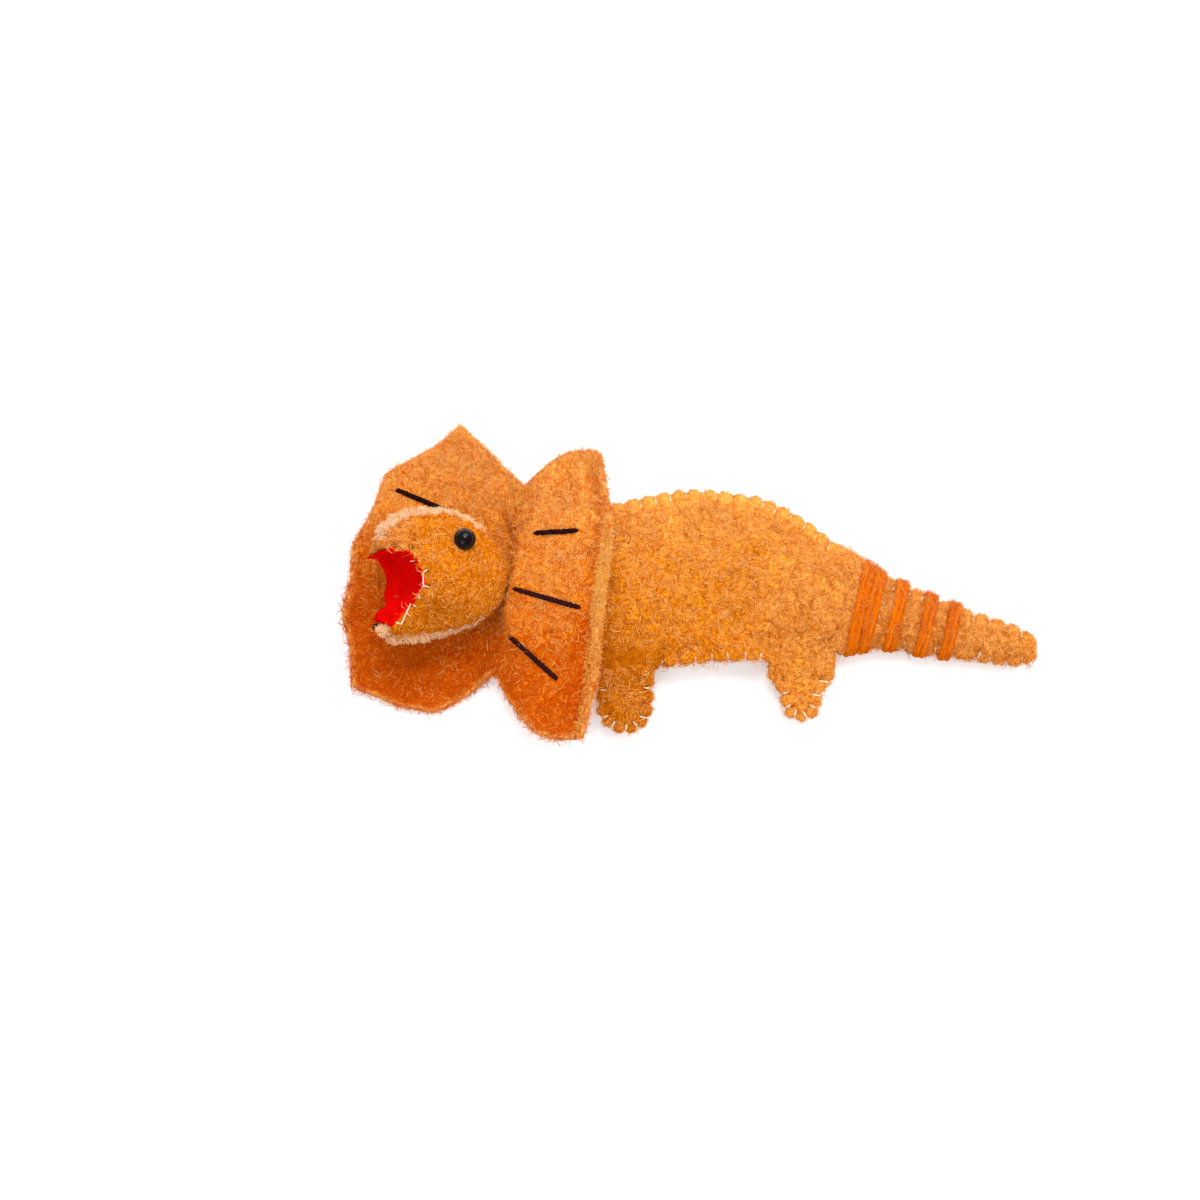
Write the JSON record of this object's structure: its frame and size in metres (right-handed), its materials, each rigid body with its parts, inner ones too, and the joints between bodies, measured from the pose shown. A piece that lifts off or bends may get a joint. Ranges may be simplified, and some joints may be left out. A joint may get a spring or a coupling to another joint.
{
  "type": "finger puppet",
  "caption": "Felt frill-necked lizard finger puppet: sewn body panels open along the belly, stuffed head and tail, legs and a folding frill.",
  "frame": {"origin": "on the surface that the puppet lies on, under the middle of the body panels", "axes": "+X from the snout to the tip of the tail, +Y to the lizard's back, +Z from the far side to the near side"},
  "size_m": [0.1275, 0.0574, 0.02],
  "materials": {
    "felt": "matt wool felt",
    "frill_felt": "matt wool felt",
    "red_felt": "matt felt",
    "yarn": "matt wool yarn",
    "wool_stuffing": "loose wool",
    "cream_thread": "cotton thread",
    "rib_thread": "thick cotton thread",
    "eye_thread": "cotton thread",
    "glass_bead": "polished black glass bead"
  },
  "bodies": {
    "body": {"torso_near": "felt", "torso_far": "felt", "back_seam_thread": "cream_thread", "chest_seam_thread": "cream_thread", "opening_hem_near_thread": "cream_thread", "opening_hem_far_thread": "cream_thread"},
    "front_leg": {"front_leg_near": "felt", "front_leg_far": "felt", "front_leg_thread": "cream_thread"},
    "hind_leg": {"hind_leg_near": "felt", "hind_leg_far": "felt", "hind_leg_thread": "cream_thread"},
    "tail_base": {"tail_base_near": "felt", "tail_base_far": "felt", "tail_base_wool": "wool_stuffing", "tail_base_thread": "cream_thread", "tail_band_1": "yarn", "tail_band_2": "yarn", "tail_band_3": "yarn", "tail_band_4": "yarn"},
    "tail_tip": {"tail_tip_near": "felt", "tail_tip_far": "felt", "tail_tip_wool": "wool_stuffing", "tail_tip_thread": "cream_thread"},
    "neck": {"neck_roll": "felt", "frill_waist": "frill_felt", "frill_seam_thread": "cream_thread"},
    "frill_near": {"frill_near": "frill_felt", "frill_near_ribs": "rib_thread"},
    "frill_far": {"frill_far": "frill_felt", "frill_far_ribs": "rib_thread"},
    "head": {"cheek_near": "felt", "cheek_far": "felt", "head_wool": "wool_stuffing", "mouth_lining": "red_felt", "mouth_near_thread": "cream_thread", "mouth_far_thread": "cream_thread", "crown_seam_thread": "cream_thread", "chin_seam_thread": "cream_thread", "eye_near": "glass_bead", "eye_far": "glass_bead", "eye_thread": "eye_thread"}
  },
  "joints": [
    {"name": "neck_nod", "type": "hinge", "parent": "body", "child": "neck", "pos_m": [-0.0273, -0.0006, 0.0039], "axis": [0, 0, 1], "range_deg": [-8, 8], "stiffness_Nm_per_rad": 0.004},
    {"name": "head_turn", "type": "hinge", "parent": "neck", "child": "head", "pos_m": [-0.0341, -0.0006, 0.0065], "axis": [0, 1, 0], "range_deg": [0, 20], "stiffness_Nm_per_rad": 0.006},
    {"name": "near_frill_fold", "type": "hinge", "parent": "neck", "child": "frill_near", "pos_m": [-0.0327, -0.00003, 0.00867], "axis": [-0.1564, -0.9877, 0], "range_deg": [0, 60], "stiffness_Nm_per_rad": 0.002},
    {"name": "far_frill_fold", "type": "hinge", "parent": "neck", "child": "frill_far", "pos_m": [-0.03379, 0.00014, 0], "axis": [-0.1564, -0.9877, 0], "range_deg": [0, 60], "stiffness_Nm_per_rad": 0.002},
    {"name": "front_leg_flap", "type": "hinge", "parent": "body", "child": "front_leg", "pos_m": [-0.0122, -0.018, 0.0039], "axis": [1, 0, 0], "range_deg": [-12, 25], "stiffness_Nm_per_rad": 0.001},
    {"name": "hind_leg_flap", "type": "hinge", "parent": "body", "child": "hind_leg", "pos_m": [0.0201, -0.0164, 0.0039], "axis": [1, 0, 0], "range_deg": [-30, 30], "stiffness_Nm_per_rad": 0.001},
    {"name": "tail_base_swing", "type": "hinge", "parent": "body", "child": "tail_base", "pos_m": [0.0309, -0.004, 0.0039], "axis": [0, 1, 0], "range_deg": [-30, 30], "stiffness_Nm_per_rad": 0.003},
    {"name": "tail_tip_swing", "type": "hinge", "parent": "tail_base", "child": "tail_tip", "pos_m": [0.0533, -0.011, 0.00295], "axis": [0, 1, 0], "range_deg": [-25, 25], "stiffness_Nm_per_rad": 0.001}
  ]
}
